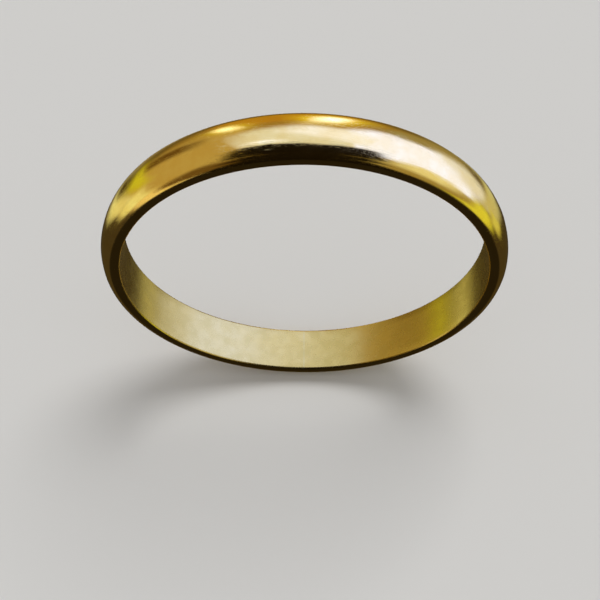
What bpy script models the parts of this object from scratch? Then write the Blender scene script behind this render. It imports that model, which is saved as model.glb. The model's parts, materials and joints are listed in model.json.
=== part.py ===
"""A plain D-section wedding band in metres, +Z up, standing on its edge.

It is made the way a bench jeweller makes one: a strip of domed gold wire is bent
round until its two ends meet, and a thin seam of hard solder closes the joint.
The origin is the centre of the finger hole, Y is the ring's axis, and the soldered
joint is at the bottom.
"""

import math

import bmesh
import bpy

# Driving dimensions, in metres.
BORE_DIAMETER = 0.0180  # the finger hole
BAND_WIDTH = 0.0025  # along the ring's axis
CROWN_THICKNESS = 0.0010  # from the bore to the top of the dome
EDGE_THICKNESS = 0.00036  # of the flat side that the dome comes down to
INNER_CORNER_RADIUS = 0.00010  # where the flat side meets the bore
SEAM_THICKNESS = 0.00010  # of the solder, along the strip
SEAM_CLEARANCE = 0.00001  # between the solder and each end of the strip

# How finely the round stretches are divided.
STEPS_ROUND_RING = 96
STEPS_HALF_DOME = 8
STEPS_INNER_CORNER = 3

# Sizes that follow from the driving dimensions.
BORE_RADIUS = BORE_DIAMETER / 2
HALF_WIDTH = BAND_WIDTH / 2
DOME_RISE = CROWN_THICKNESS - EDGE_THICKNESS
JOINT_HEIGHT = -(BORE_RADIUS + CROWN_THICKNESS / 2)  # Z of the middle of the joint
CUTTER_REACH = 0.0005  # how far a cutter stands past the wire on every side

COLOURS = {
    "yellow_gold": (0.90, 0.62, 0.20, 1.0),
    "gold_solder": (0.88, 0.66, 0.30, 1.0),
}
ROUGHNESS = {"yellow_gold": 0.12, "gold_solder": 0.22}


def clear_scene():
    for old in list(bpy.data.objects):
        bpy.data.objects.remove(old)


def new_collection(name):
    collection = bpy.data.collections.new(name)
    bpy.context.scene.collection.children.link(collection)
    return collection


def metal(name):
    """A polished metal: its base colour tints what it reflects."""
    material = bpy.data.materials.new(name)
    material.use_nodes = True
    shader = material.node_tree.nodes["Principled BSDF"]
    shader.inputs["Base Color"].default_value = COLOURS[name]
    shader.inputs["Metallic"].default_value = 1.0
    shader.inputs["Roughness"].default_value = ROUGHNESS[name]
    return material


def elliptical_arc(centre, radii, start, end, steps):
    """Points (distance from the ring's axis, place along it) on an arc of an ellipse.
    Angle 0 points away from the axis, and a quarter turn points along it."""
    angles = [start + (end - start) * i / steps for i in range(steps + 1)]
    return [
        (centre[0] + radii[0] * math.cos(a), centre[1] + radii[1] * math.sin(a))
        for a in angles
    ]


def half_outline():
    """The wire's outline from the crown of the dome, over one edge, to the bore."""
    dome = elliptical_arc(
        centre=(BORE_RADIUS + EDGE_THICKNESS, 0),
        radii=(DOME_RISE, HALF_WIDTH),
        start=0,
        end=math.pi / 2,
        steps=STEPS_HALF_DOME,
    )
    inner_corner = elliptical_arc(
        centre=(BORE_RADIUS + INNER_CORNER_RADIUS, HALF_WIDTH - INNER_CORNER_RADIUS),
        radii=(INNER_CORNER_RADIUS, INNER_CORNER_RADIUS),
        start=math.pi / 2,
        end=math.pi,
        steps=STEPS_INNER_CORNER,
    )
    return dome + inner_corner


def wire_outline():
    """The whole D-section, down its domed side and back up along the bore."""
    upper = half_outline()
    lower = [(out, -along) for out, along in upper[1:]]
    return upper[::-1] + lower


def ring_blank(name, collection, material):
    """A whole ring of the wire's section, turned about the ring's axis."""
    outline = wire_outline()
    mesh = bpy.data.meshes.new(name)
    points = [(out, 0, along) for out, along in outline]
    edges = [(i, (i + 1) % len(outline)) for i in range(len(outline))]
    mesh.from_pydata(points, edges, [])
    mesh.materials.append(material)
    ring = bpy.data.objects.new(name, mesh)
    ring.rotation_euler = (-math.pi / 2, 0, 0)  # turns the screw's Z axis onto Y
    collection.objects.link(ring)
    screw = ring.modifiers.new("turn", "SCREW")
    screw.axis = "Z"
    screw.angle = 2 * math.pi
    screw.steps = STEPS_ROUND_RING
    screw.render_steps = STEPS_ROUND_RING
    screw.use_smooth_shade = True
    return ring


def joint_block(name, collection, thickness):
    """A block of that thickness across the wire at the joint, larger than its section."""
    mesh = bpy.data.meshes.new(name)
    shape = bmesh.new()
    bmesh.ops.create_cube(shape, size=1)
    size = (
        thickness,
        BAND_WIDTH + 2 * CUTTER_REACH,
        CROWN_THICKNESS + 2 * CUTTER_REACH,
    )
    bmesh.ops.scale(shape, vec=size, verts=shape.verts)
    shape.to_mesh(mesh)
    shape.free()
    block = bpy.data.objects.new(name, mesh)
    block.location = (0, 0, JOINT_HEIGHT)
    block.hide_render = True
    block.display_type = "WIRE"
    collection.objects.link(block)
    return block


def trim(ring, operation, block):
    boolean = ring.modifiers.new("joint", "BOOLEAN")
    boolean.operation = operation
    boolean.solver = "EXACT"
    boolean.object = block


def build():
    clear_scene()
    parts = new_collection("wedding_band")
    cutters = new_collection("cutters")

    band = ring_blank("band", parts, metal("yellow_gold"))
    gap = SEAM_THICKNESS + 2 * SEAM_CLEARANCE
    trim(band, "DIFFERENCE", joint_block("joint_gap", cutters, gap))

    seam = ring_blank("solder_seam", parts, metal("gold_solder"))
    trim(seam, "INTERSECT", joint_block("joint_fill", cutters, SEAM_THICKNESS))


build()
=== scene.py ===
"""The looks of a plain D-section wedding band: polished, lightly worn yellow gold.

The band and its soldered seam are swept round the ring as fine meshes on the CAD's own
sizes. Lengths are in metres, +Z is up and the ring's axis is Y.
"""

import json
import math

import bpy
import numpy as np
from mathutils import Matrix, Vector


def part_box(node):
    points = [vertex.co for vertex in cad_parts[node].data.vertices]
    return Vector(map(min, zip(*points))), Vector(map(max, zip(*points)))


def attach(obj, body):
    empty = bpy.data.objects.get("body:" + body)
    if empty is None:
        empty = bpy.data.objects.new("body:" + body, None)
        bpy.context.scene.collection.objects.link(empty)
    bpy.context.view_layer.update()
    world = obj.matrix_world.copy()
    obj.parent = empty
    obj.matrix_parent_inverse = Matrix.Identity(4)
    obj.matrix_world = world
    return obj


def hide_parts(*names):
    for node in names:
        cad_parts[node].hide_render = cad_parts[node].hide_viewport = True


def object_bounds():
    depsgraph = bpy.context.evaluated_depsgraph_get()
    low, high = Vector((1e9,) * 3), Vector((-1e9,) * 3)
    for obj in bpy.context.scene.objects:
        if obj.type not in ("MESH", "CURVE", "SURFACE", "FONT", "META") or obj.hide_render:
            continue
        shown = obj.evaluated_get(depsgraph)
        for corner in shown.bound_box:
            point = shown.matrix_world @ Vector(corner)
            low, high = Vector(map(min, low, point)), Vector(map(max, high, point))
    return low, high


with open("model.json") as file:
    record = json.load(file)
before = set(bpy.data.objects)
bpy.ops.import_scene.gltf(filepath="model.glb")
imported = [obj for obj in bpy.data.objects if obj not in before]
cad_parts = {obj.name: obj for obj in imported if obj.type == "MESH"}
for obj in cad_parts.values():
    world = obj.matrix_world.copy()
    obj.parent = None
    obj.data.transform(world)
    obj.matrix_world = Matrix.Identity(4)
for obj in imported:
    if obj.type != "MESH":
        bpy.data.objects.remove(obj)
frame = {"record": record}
cad_low, cad_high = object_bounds()

MM = 0.001
MICRON = 0.000001

# Sizes read from the CAD model.
MOUNTS = {mount["name"]: mount for mount in frame["record"]["mounts"]}
BORE_RADIUS = MOUNTS["finger_bore"]["dims"]["r_mm"] * MM
OUTER_RADIUS = cad_high.z
HALF_WIDTH = cad_high.y
SEAM_HALF_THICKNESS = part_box("solder_seam")[1].x
SEAM_HALF_ANGLE = SEAM_HALF_THICKNESS / OUTER_RADIUS
FLOOR_HEIGHT = cad_low.z

# The section's own sizes, as in the CAD.
EDGE_THICKNESS = 0.36 * MM
INNER_CORNER_RADIUS = 0.10 * MM
DOME_RISE = OUTER_RADIUS - BORE_RADIUS - EDGE_THICKNESS

# How finely the meshes are divided.
STEPS_ROUND_BAND = 860
STEPS_ROUND_SEAM = 4
STEPS_DOME = 88
STEPS_INNER_CORNER = 6
STEPS_SIDE = 2
STEPS_BORE = 6
SHARP_ANGLE = math.radians(60)

# Traces of handwork and wear. Each value of a mark is drawn at random from its range.
WEAR_SEED = 11
FULL_TURN = (0, 2 * math.pi)
DENT_COUNT = 46
DENT_RANGES = {
    "angle": FULL_TURN,
    "along": (-0.85 * HALF_WIDTH, 0.85 * HALF_WIDTH),
    "reach": (0.12 * MM, 0.42 * MM),
    "depth": (0.8 * MICRON, 4.0 * MICRON),
}
NICK_COUNT = 12
NICK_RANGES = {
    "angle": FULL_TURN,
    "along": (-0.8 * HALF_WIDTH, 0.8 * HALF_WIDTH),
    "length": (0.2 * MM, 0.6 * MM),
    "width": (0.07 * MM, 0.10 * MM),
    "depth": (1.5 * MICRON, 5.0 * MICRON),
    "tilt": (-1.2, 1.2),
}
FRONT_NICK = {
    "angle": math.radians(170.9),
    "along": -0.88 * MM,
    "length": 0.42 * MM,
    "width": 0.13 * MM,
    "depth": 26 * MICRON,
    "tilt": math.radians(6),
}
WAVE_SLOPES = {5: 0.004, 11: 0.006, 19: 0.007, 31: 0.008, 47: 0.005}  # by waves in one turn
WAVE_RANGES = {"phase": FULL_TURN, "slant": (-1.5, 1.5)}
SOLDER_SUNK = 2 * MICRON  # how far the softer solder has worn below the band

# The gold. Turns are in radians, and lengths and gaps in millimetres.
BAND_GOLD = {
    "light": (0.93, 0.64, 0.21, 1),
    "deep": (0.90, 0.59, 0.17, 1),
    # painted shade: the bore's gold is darker than the dome's, as if the ring's inside lay in shadow
    "bore": (0.57, 0.385, 0.085, 1),
}
SOLDER_GOLD = {
    "light": (0.91, 0.67, 0.27, 1),
    "deep": (0.88, 0.62, 0.22, 1),
    # painted shade: the solder's bore is darker too, as if in shadow
    "bore": (0.57, 0.40, 0.10, 1),
}
EDGE_TINT = (1.0, 0.93, 0.62, 1)  # how gold reflects at a glancing angle
HAIRLINES = (
    {"turn": 0.1, "length": 2.5, "gap": 0.03, "threshold": 0.62},
    {"turn": 0.9, "length": 1.2, "gap": 0.035, "threshold": 0.66},
    {"turn": -0.6, "length": 1.6, "gap": 0.03, "threshold": 0.66},
)
HAIRLINE_SOFTNESS = 0.05
BUFFING_STRETCH = (0.08, 18, 18)  # long round the ring, and fine across it
HAZE_NOISE = {"scale": 1.3, "detail": 4.0}
HAZE_IN_COLOUR = (0.35, 0.65)  # the part of the noise that the colour follows
HAZE_IN_ROUGHNESS = (0.3, 0.7)
FILM_NOISE = {"scale": 1.6, "detail": 5.0}
FILM_LIMITS = (0.25, 0.75)
BORE_PAINTED_SHADE = 0.74  # how much of the bore's darker gold, a painted shade, shows in the bore
FILM_TONE = 0.16  # and how much more where film lies
DOME_ROUGHNESS = (0.07, 0.11)  # where it is clear, and where it is hazy
HAIRLINE_ROUGHNESS = 0.05  # what a hairline adds
BORE_ROUGHNESS = 0.24
FILM_ROUGHNESS = 0.06  # what film adds
DOME_BUFFING = 0.25
BORE_BUFFING = 0.9  # on top of the dome's
HAIRLINE_RELIEF = 0.35
RELIEF_DEPTH = 1.5 * MICRON

# The stage.
FLOOR_COLOUR = (0.74, 0.73, 0.71, 1)
FLOOR_REACH = 8.0
BACKDROP_SHADE = (0.62, 0.61, 0.595, 1)
AMBIENT_SHADE = (0.52, 0.52, 0.52, 1)
ROOM_SHADE = (0.36, 0.27, 0.09, 1)
TABLE_SHADE = (0.060, 0.050, 0.032, 1)
TABLE_TO_ROOM = (-0.5, 0.2)  # from one shade to the other, by how far up a ray points
NEAR_BLACK = (0.008, 0.006, 0.003)
KEY_STRENGTH = 1.15
KEY_SPREAD = math.radians(30)
KEY_DIRECTION = (30, 60)

CAMERA_ELEVATION = 56.1
CAMERA_DISTANCE = 6 * BORE_RADIUS
CAMERA_LENS = 65.1
SENSOR_WIDTH = 36.0
CLIP_START = 0.001
CLIP_END = 10.0
AIM = (-0.21 * MM, -1.96 * MM)  # of the camera, to its right and up from the ring's centre


def in_scene(name, data):
    """A new object in the scene."""
    thing = bpy.data.objects.new(name, data)
    bpy.context.scene.collection.objects.link(thing)
    return thing


# ---------------------------------------------------------------- shape


def elliptical_arc(centre, radii, start, end, steps):
    """Rows of (distance from the axis, place along it), without the arc's last point."""
    angles = start + (end - start) * np.arange(steps) / steps
    distances = centre[0] + radii[0] * np.cos(angles)
    places = centre[1] + radii[1] * np.sin(angles)
    return np.stack([distances, places], axis=1)


def straight(start, end, steps):
    """Rows of points from start towards end, without end itself."""
    share = np.arange(steps)[:, None] / steps
    return np.array(start) + (np.array(end) - np.array(start)) * share


def section():
    """The closed D-section, from the front edge over the dome and back through the bore."""
    corner = INNER_CORNER_RADIUS
    edge = BORE_RADIUS + EDGE_THICKNESS
    inner = BORE_RADIUS + corner
    flat = HALF_WIDTH - corner
    quarter = math.pi / 2
    return np.concatenate(
        [
            elliptical_arc((edge, 0), (DOME_RISE, HALF_WIDTH), -quarter, quarter, STEPS_DOME),
            straight((edge, HALF_WIDTH), (inner, HALF_WIDTH), STEPS_SIDE),
            elliptical_arc(
                (inner, flat), (corner, corner), quarter, 2 * quarter, STEPS_INNER_CORNER
            ),
            straight((BORE_RADIUS, flat), (BORE_RADIUS, -flat), STEPS_BORE),
            elliptical_arc(
                (inner, -flat), (corner, corner), 2 * quarter, 3 * quarter, STEPS_INNER_CORNER
            ),
            straight((inner, -HALF_WIDTH), (edge, -HALF_WIDTH), STEPS_SIDE),
        ]
    )


def drawn(random, ranges):
    """One value drawn from each range, in the ranges' order."""
    return {name: random.uniform(*limits) for name, limits in ranges.items()}


def from_mark(angle, along, mark):
    """How far each point lies from the mark, round the ring and along its axis."""
    turn = (angle - mark["angle"] + math.pi) % (2 * math.pi) - math.pi
    return turn * OUTER_RADIUS, along - mark["along"]


def dent_depth(angle, along, random):
    """Small round dents from daily wear."""
    depth = np.zeros_like(angle)
    for dent in [drawn(random, DENT_RANGES) for _ in range(DENT_COUNT)]:
        round_ring, across = from_mark(angle, along, dent)
        away = (round_ring**2 + across**2) / (dent["reach"] / 2) ** 2
        depth += dent["depth"] * np.exp(-away)
    return depth


def wave_height(angle, along, random):
    """The slow unevenness of a band that was bent, filed and buffed by hand."""
    height = np.zeros_like(angle)
    for count, slope in WAVE_SLOPES.items():
        wave = drawn(random, WAVE_RANGES)
        slant = wave["slant"] * along / HALF_WIDTH
        height += slope * OUTER_RADIUS / count * np.cos(count * angle + wave["phase"] + slant)
    return height


def nick_depth(angle, along, random):
    """Short, narrow knocks. The deepest is near the front edge, just left of the top."""
    depth = np.zeros_like(angle)
    for nick in [FRONT_NICK, *(drawn(random, NICK_RANGES) for _ in range(NICK_COUNT))]:
        round_ring, across = from_mark(angle, along, nick)
        lengthways = round_ring * math.cos(nick["tilt"]) + across * math.sin(nick["tilt"])
        sideways = across * math.cos(nick["tilt"]) - round_ring * math.sin(nick["tilt"])
        away = (lengthways / (nick["length"] / 2)) ** 4 + (sideways / (nick["width"] / 2)) ** 2
        depth += nick["depth"] * np.exp(-away)
    return depth


def wear(angle, along):
    """How far the dome's surface stands off the true one, positive outwards."""
    random = np.random.default_rng(WEAR_SEED)
    dents = dent_depth(angle, along, random)
    waves = wave_height(angle, along, random)
    nicks = nick_depth(angle, along, random)
    fade = np.clip(1 - (along / HALF_WIDTH) ** 2, 0, 1)  # to nothing at the dome's edges
    return (waves - dents - nicks) * fade


def strip_faces(steps, count):
    """Faces between neighbouring sections of count points, and over both ends. They point
    outwards."""
    faces = []
    for step in range(steps):
        near = step * count
        far = near + count
        for point in range(count):
            after = (point + 1) % count
            faces.append((near + point, far + point, far + after, near + after))
    last = steps * count
    faces.append(tuple(range(count)))
    faces.append(tuple(last + point for point in reversed(range(count))))
    return faces


def strip(name, start, end, steps, sunk=0.0):
    """The section swept round the ring's axis from angle start to angle end, with closed
    ends. Angle 0 is the bottom of the ring. Its dome stands sunk below the true surface."""
    outline = section()
    turns = np.linspace(start, end, steps + 1)
    angle, out = np.meshgrid(turns, outline[:, 0], indexing="ij")
    along = np.broadcast_to(outline[:, 1], out.shape)
    on_dome = out >= BORE_RADIUS + EDGE_THICKNESS
    out = out + np.where(on_dome, wear(angle, along) - sunk, 0)
    points = np.stack([-out * np.sin(angle), along, -out * np.cos(angle)], axis=-1)

    mesh = bpy.data.meshes.new(name)
    mesh.from_pydata(points.reshape(-1, 3), [], strip_faces(steps, len(outline)))
    mesh.shade_smooth()
    mesh.set_sharp_from_angle(angle=SHARP_ANGLE)

    # Each point's place on the strip as if it were unrolled, in millimetres.
    place = np.stack([angle * OUTER_RADIUS, along, out - BORE_RADIUS], axis=-1) / MM
    strip_place = mesh.attributes.new("strip_place", "FLOAT_VECTOR", "POINT")
    strip_place.data.foreach_set("vector", place.astype(np.float32).ravel())
    return in_scene(name, mesh)


# ---------------------------------------------------------------- materials


class Nodes:
    """Builds a node tree, one node a call."""

    def __init__(self, tree):
        self.tree = tree
        tree.nodes.clear()

    def add(self, kind, inputs=None, **settings):
        """Adds a node. An input's value is a socket to link, or the value itself."""
        node = self.tree.nodes.new("ShaderNode" + kind)
        for name, value in settings.items():
            setattr(node, name, value)
        for key, value in (inputs or {}).items():
            if isinstance(value, bpy.types.NodeSocket):
                self.tree.links.new(value, node.inputs[key])
            else:
                node.inputs[key].default_value = value
        return node

    def math(self, operation, *values):
        return self.add("Math", dict(enumerate(values)), operation=operation).outputs[0]

    def ramp(self, value, low, high, to_low=0.0, to_high=1.0):
        """Smoothly from to_low at value low to to_high at value high."""
        inputs = {0: value, 1: low, 2: high, 3: to_low, 4: to_high}
        return self.add("MapRange", inputs, interpolation_type="SMOOTHSTEP").outputs[0]

    def mix(self, share, first, second):
        """Between two colours."""
        inputs = {0: share, 6: first, 7: second}
        return self.add("Mix", inputs, data_type="RGBA").outputs[2]

    def stretched(self, vector, turn, scale):
        """The vector turned about the surface's normal, then scaled along each side."""
        turned = self.add("VectorRotate", {0: vector, "Angle": turn}, rotation_type="Z_AXIS")
        inputs = {0: turned.outputs[0], 1: scale}
        return self.add("VectorMath", inputs, operation="MULTIPLY").outputs[0]

    def noise(self, vector, scale=1.0, detail=2.0):
        inputs = {"Vector": vector, "Scale": scale, "Detail": detail}
        return self.add("TexNoise", inputs).outputs["Fac"]


def new_material(name):
    """A material, and what adds its nodes."""
    material = bpy.data.materials.new(name)
    material.use_nodes = True
    return material, Nodes(material.node_tree)


def scratches(nodes, place, turn, length, gap, threshold):
    """Fine straight marks in one direction, 0 to 1. A higher threshold leaves fewer."""
    lines = nodes.noise(nodes.stretched(place, turn, (1 / length, 1 / gap, 1 / gap)), detail=1.0)
    return nodes.ramp(lines, threshold, threshold + HAIRLINE_SOFTNESS)


def gold_patterns(nodes):
    """What varies over the gold: where the bore is, haze, film, buffing marks and hairlines.
    Each is 0 to 1, except that hairlines add up where they cross."""
    place = nodes.add("Attribute", attribute_name="strip_place").outputs["Vector"]
    height = nodes.add("SeparateXYZ", {0: place}).outputs[2]
    position = nodes.add("TexCoord").outputs["Object"]
    inputs = {0: position, "Scale": 1 / MM}
    ring_place = nodes.add("VectorMath", inputs, operation="SCALE").outputs[0]

    hairlines = scratches(nodes, place, **HAIRLINES[0])
    for hairline in HAIRLINES[1:]:
        hairlines = nodes.math("ADD", hairlines, scratches(nodes, place, **hairline))
    return {
        "bore": nodes.ramp(height, INNER_CORNER_RADIUS / MM, 0.0),
        "haze": nodes.noise(ring_place, **HAZE_NOISE),
        "film": nodes.ramp(nodes.noise(ring_place, **FILM_NOISE), *FILM_LIMITS),
        "buffing": nodes.noise(nodes.stretched(place, 0.0, BUFFING_STRETCH), detail=3.0),
        "hairlines": hairlines,
    }


def gold_colour(nodes, patterns, hues):
    """Light and deep gold in soft patches, and a darker gold in the bore, painted shade as if the
    ring's inside lay in shadow.
    """
    haze = nodes.ramp(patterns["haze"], *HAZE_IN_COLOUR)
    dome = nodes.mix(haze, hues["light"], hues["deep"])
    # painted shade: the bore takes the darker gold, and more of it where film lies
    shade_and_film = nodes.math("MULTIPLY_ADD", patterns["film"], FILM_TONE, BORE_PAINTED_SHADE)
    return nodes.mix(nodes.math("MULTIPLY", patterns["bore"], shade_and_film), dome, hues["bore"])


def gold_roughness(nodes, patterns):
    """A polished dome with haze and hairlines, and a duller bore."""
    haze = nodes.ramp(patterns["haze"], *HAZE_IN_ROUGHNESS, *DOME_ROUGHNESS)
    dome = nodes.math("MULTIPLY_ADD", patterns["hairlines"], HAIRLINE_ROUGHNESS, haze)
    bore = nodes.math("MULTIPLY_ADD", patterns["film"], FILM_ROUGHNESS, BORE_ROUGHNESS)
    change = nodes.math("SUBTRACT", bore, dome)
    return nodes.math("MULTIPLY_ADD", patterns["bore"], change, dome)


def gold_relief(nodes, patterns):
    """The bumped normal: buffing marks, deeper in the bore, and hairlines cut into them."""
    strength = nodes.math("MULTIPLY_ADD", patterns["bore"], BORE_BUFFING, DOME_BUFFING)
    buffing = nodes.math("MULTIPLY", patterns["buffing"], strength)
    hairlines = nodes.math("MULTIPLY", patterns["hairlines"], HAIRLINE_RELIEF)
    relief = nodes.math("SUBTRACT", buffing, hairlines)
    inputs = {"Height": relief, "Distance": RELIEF_DEPTH, "Strength": 1.0}
    return nodes.add("Bump", inputs).outputs[0]


def gold(name, hues):
    """Polished gold: hairline scratches on the dome, and a duller bore with film in it, its gold
    darkened by painted shade.
    """
    material, nodes = new_material(name)
    patterns = gold_patterns(nodes)
    shader = nodes.add(
        "BsdfPrincipled",
        {
            "Base Color": gold_colour(nodes, patterns, hues),
            "Metallic": 1.0,
            "Specular Tint": EDGE_TINT,
            "Roughness": gold_roughness(nodes, patterns),
            "Normal": gold_relief(nodes, patterns),
        },
    )
    nodes.add("OutputMaterial", {0: shader.outputs[0]})
    return material


def plain_floor():
    """The floor's matt, pale material."""
    material, nodes = new_material("floor")
    shader = nodes.add(
        "BsdfPrincipled",
        {"Base Color": FLOOR_COLOUR, "Roughness": 1.0, "Specular IOR Level": 0.0},
    )
    nodes.add("OutputMaterial", {0: shader.outputs[0]})
    return material


def soft_glow(name, colour, feather):
    """Light of one colour that fades out towards the card's four sides, over the share
    feather of its width and of its height."""
    material, nodes = new_material(name)
    across = nodes.add("UVMap", uv_map="across").outputs[0]
    shares = []
    for side in nodes.add("SeparateXYZ", {0: across}).outputs[:2]:
        from_middle = nodes.math("ABSOLUTE", nodes.math("SUBTRACT", side, 0.5))
        shares.append(nodes.ramp(nodes.math("SUBTRACT", 0.5, from_middle), 0.0, feather))
    light = nodes.add("Emission", {"Color": (*colour, 1)}).outputs[0]
    clear = nodes.add("BsdfTransparent").outputs[0]
    mixed = nodes.add("MixShader", {0: nodes.math("MULTIPLY", *shares), 1: clear, 2: light})
    nodes.add("OutputMaterial", {0: mixed.outputs[0]})
    return material


# ---------------------------------------------------------------- pieces


def dress(piece, node, slot, hues):
    """Gives the piece its gold, and lets it stand for a CAD node on the ring's one body."""
    piece.data.materials.append(gold(slot, hues))
    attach(piece, "root")
    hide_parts(node)


def make_band():
    """The strip of gold, from one side of the seam right round to the other."""
    end = 2 * math.pi - SEAM_HALF_ANGLE
    band = strip("gold_band", SEAM_HALF_ANGLE, end, STEPS_ROUND_BAND)
    dress(band, "band", "yellow_gold", BAND_GOLD)


def make_seam():
    """The solder between the strip's ends, at the bottom of the ring."""
    seam = strip(
        "solder_joint", -SEAM_HALF_ANGLE, SEAM_HALF_ANGLE, STEPS_ROUND_SEAM, SOLDER_SUNK
    )
    dress(seam, "solder_seam", "gold_solder", SOLDER_GOLD)


# ---------------------------------------------------------------- stage


def direction(azimuth, elevation):
    """A unit vector. Azimuth 0 is +Y and 90 is +X, as a compass has them from above."""
    turn = math.radians(azimuth)
    rise = math.radians(elevation)
    level = math.cos(rise)
    return Vector((level * math.sin(turn), level * math.cos(turn), math.sin(rise)))


def rectangle(name, half_width, half_height):
    """A flat mesh facing +Z, with UVs from corner to corner."""
    mesh = bpy.data.meshes.new(name)
    corners = [(-1, -1), (1, -1), (1, 1), (-1, 1)]
    points = [(x * half_width, y * half_height, 0) for x, y in corners]
    mesh.from_pydata(points, [], [(0, 1, 2, 3)])
    uv = mesh.uv_layers.new(name="across")
    uv.data.foreach_set("uv", [0, 0, 1, 0, 1, 1, 0, 1])
    return mesh


def card(name, place, size, distance, colour, feather=0.25, roll=0.0):
    """A soft-edged panel that only the metal's reflections see, facing the ring. Its place
    is an azimuth and an elevation, and its size two angles across, all in degrees."""
    half_width, half_height = (distance * math.tan(math.radians(angle / 2)) for angle in size)
    panel = in_scene(name, rectangle(name, half_width, half_height))
    panel.data.materials.append(soft_glow(name, colour, feather))
    towards = direction(*place)
    panel.matrix_world = (
        Matrix.Translation(towards * distance)
        @ towards.to_track_quat("Z", "Y").to_matrix().to_4x4()
        @ Matrix.Rotation(math.radians(roll), 4, "Z")
    )
    panel.visible_camera = False
    panel.visible_diffuse = False
    panel.visible_shadow = False


def make_room():
    """Warm walls, with a dark doorway behind on the left and a shaded corner in front of
    it, under a cool ceiling."""
    card("warm_wall", (-86, 24), (108, 92), 0.50, (0.50, 0.43, 0.20), feather=0.2)
    card("left_front_shade", (-148, 8), (68, 68), 0.365, (0.15, 0.10, 0.03), feather=0.3)
    card("right_wall", (130, 14), (90, 80), 0.50, (0.37, 0.34, 0.17), feather=0.3)
    card("ceiling", (8, 73), (92, 66), 0.46, (0.82, 1.00, 1.6))
    card("back_wall", (-4, 8), (50, 50), 0.48, (0.48, 0.30, 0.04))
    card("back_low", (-4, -34), (90, 36), 0.47, (0.30, 0.27, 0.20), feather=0.4)
    card("olive_wall", (36, 0), (30, 70), 0.465, (0.32, 0.31, 0.20), feather=0.35)
    card("olive_post", (35, 14), (20, 26), 0.40, (0.34, 0.35, 0.28), feather=0.4)
    card("dark_doorway", (-50, 5), (22, 52), 0.40, (0.13, 0.08, 0.02), feather=0.4, roll=4)


def make_window():
    """A large cool window on the right."""
    card("window", (70, 33), (78, 88), 0.42, (1.10, 1.50, 4.3), feather=0.18)
    card("window_top", (30, 58), (70, 34), 0.43, (1.05, 1.35, 3.0), feather=0.35)
    card("window_side", (113, 22), (60, 56), 0.44, (0.86, 0.98, 0.95), feather=0.42)
    card("window_low", (62, -6), (54, 38), 0.41, (0.85, 1.05, 2.0), feather=0.4)


def make_left_light():
    """Pale light low on the left, in an arc round the ring. It is yellow above, and has
    a dark notch in it."""
    card("left_strip_front", (-133, -14), (72, 22), 0.36, (0.92, 0.86, 0.52), feather=0.35, roll=-28)
    card("left_strip", (-98, -8), (52, 32), 0.37, (0.90, 1.02, 0.72), feather=0.35)
    card("left_strip_back", (-62, -24), (68, 20), 0.36, (0.82, 0.92, 0.72), feather=0.35, roll=29)
    card("left_yellow", (-62, -8), (60, 18), 0.35, (0.62, 0.70, 0.06), feather=0.4, roll=33)
    card("left_notch", (-46, -26), (40, 13), 0.34, (0.07, 0.055, 0.02), feather=0.45, roll=35)


def make_right_light():
    """Yellow light low on the right, in an arc round the ring, with a dark notch in it."""
    card("right_strip_front", (114, -18), (80, 28), 0.37, (0.76, 0.88, 0.14), feather=0.35, roll=16)
    card("right_strip", (79, -25), (46, 20), 0.365, (0.66, 0.74, 0.28), feather=0.4)
    card("right_strip_back", (58, -25), (76, 18), 0.36, (0.60, 0.68, 0.60), feather=0.35, roll=-26)
    card("right_notch", (40, -24), (30, 11), 0.35, (0.12, 0.10, 0.06), feather=0.45, roll=-35)


def make_lamps():
    """Two lamps behind the ring, each in a yellow glow, and one high on the left."""
    card("left_glow", (-28, 18), (22, 42), 0.35, (0.80, 0.78, 0.10), feather=0.5, roll=-8)
    card("left_lamp", (-28, 18), (11, 32), 0.34, (1.8, 2.1, 2.6), feather=0.5, roll=-8)
    card("right_glow", (9, 20), (34, 56), 0.35, (1.05, 1.05, 0.08), feather=0.5)
    card("right_lamp", (9, 20), (15, 38), 0.34, (2.0, 2.6, 5.5), feather=0.5)
    card("ceiling_lamp", (-66, 68), (14, 32), 0.40, (1.20, 1.60, 3.8), feather=0.5, roll=18)


def make_dark_front():
    """Something dark in front, narrower towards the table, and the table's edge."""
    card("dark_front_high", (181, 67), (84, 50), 0.20, NEAR_BLACK, feather=0.15)
    card("dark_front_middle", (181, 32), (72, 32), 0.205, NEAR_BLACK, feather=0.2)
    card("dark_front_low", (181, 4), (54, 104), 0.21, NEAR_BLACK, feather=0.18)
    card("table_edge", (180, -54), (76, 44), 0.22, (0.018, 0.015, 0.010), feather=0.2)


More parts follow.
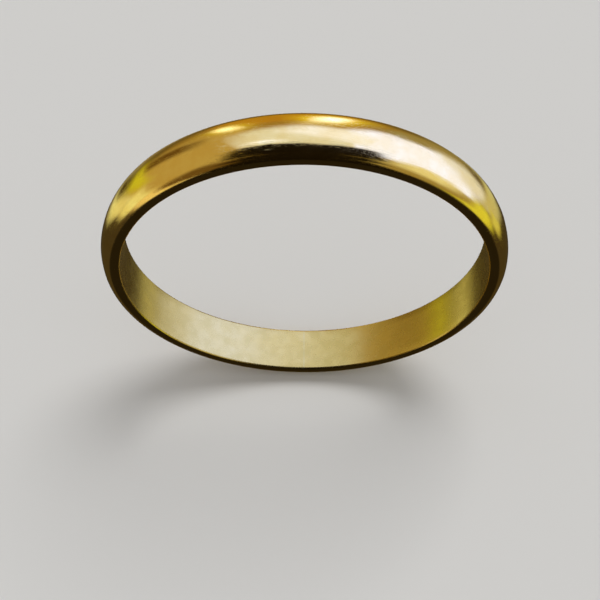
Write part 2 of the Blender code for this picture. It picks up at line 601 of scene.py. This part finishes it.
def make_world():
    """Even light from all round. The camera sees it in the floor's own shade, so that the
    floor has no horizon, and the metal sees a warm room over a dark table."""
    world = bpy.data.worlds.new("studio")
    world.use_nodes = True
    nodes = Nodes(world.node_tree)
    up = nodes.add("SeparateXYZ", {0: nodes.add("TexCoord").outputs["Generated"]}).outputs[2]
    room = nodes.mix(nodes.ramp(up, *TABLE_TO_ROOM), TABLE_SHADE, ROOM_SHADE)
    ray = nodes.add("LightPath").outputs
    seen = nodes.mix(ray["Is Glossy Ray"], AMBIENT_SHADE, room)
    seen = nodes.mix(ray["Is Camera Ray"], seen, BACKDROP_SHADE)
    shader = nodes.add("Background", {"Color": seen})
    nodes.add("OutputWorld", {0: shader.outputs[0]})
    bpy.context.scene.world = world


def make_floor():
    """A plain pale floor, which the metal doesn't reflect."""
    floor = in_scene("floor", rectangle("floor", FLOOR_REACH, FLOOR_REACH))
    floor.location.z = FLOOR_HEIGHT
    floor.data.materials.append(plain_floor())
    floor.visible_glossy = False


def make_key_light():
    """A broad soft light from above and behind, for the floor and the shadow on it."""
    light = bpy.data.lights.new("softbox", "SUN")
    light.angle = KEY_SPREAD
    light.energy = KEY_STRENGTH
    lamp = in_scene("softbox", light)
    lamp.rotation_mode = "QUATERNION"
    lamp.rotation_quaternion = direction(*KEY_DIRECTION).to_track_quat("Z", "Y")
    lamp.visible_glossy = False


def make_camera():
    """A camera in front of the ring, looking down on it."""
    data = bpy.data.cameras.new("camera")
    data.lens = CAMERA_LENS
    data.sensor_width = SENSOR_WIDTH
    data.clip_start = CLIP_START
    data.clip_end = CLIP_END
    camera = in_scene("camera", data)
    back = direction(180, CAMERA_ELEVATION)
    aim = back.to_track_quat("Z", "Y") @ Vector((*AIM, 0))
    camera.location = back * CAMERA_DISTANCE
    camera.rotation_mode = "QUATERNION"
    camera.rotation_quaternion = (camera.location - aim).to_track_quat("Z", "Y")
    bpy.context.scene.camera = camera


make_band()
make_seam()
make_world()
make_floor()
make_key_light()
make_room()
make_window()
make_left_light()
make_right_light()
make_lamps()
make_dark_front()
make_camera()
bpy.context.scene.view_settings.view_transform = "Standard"
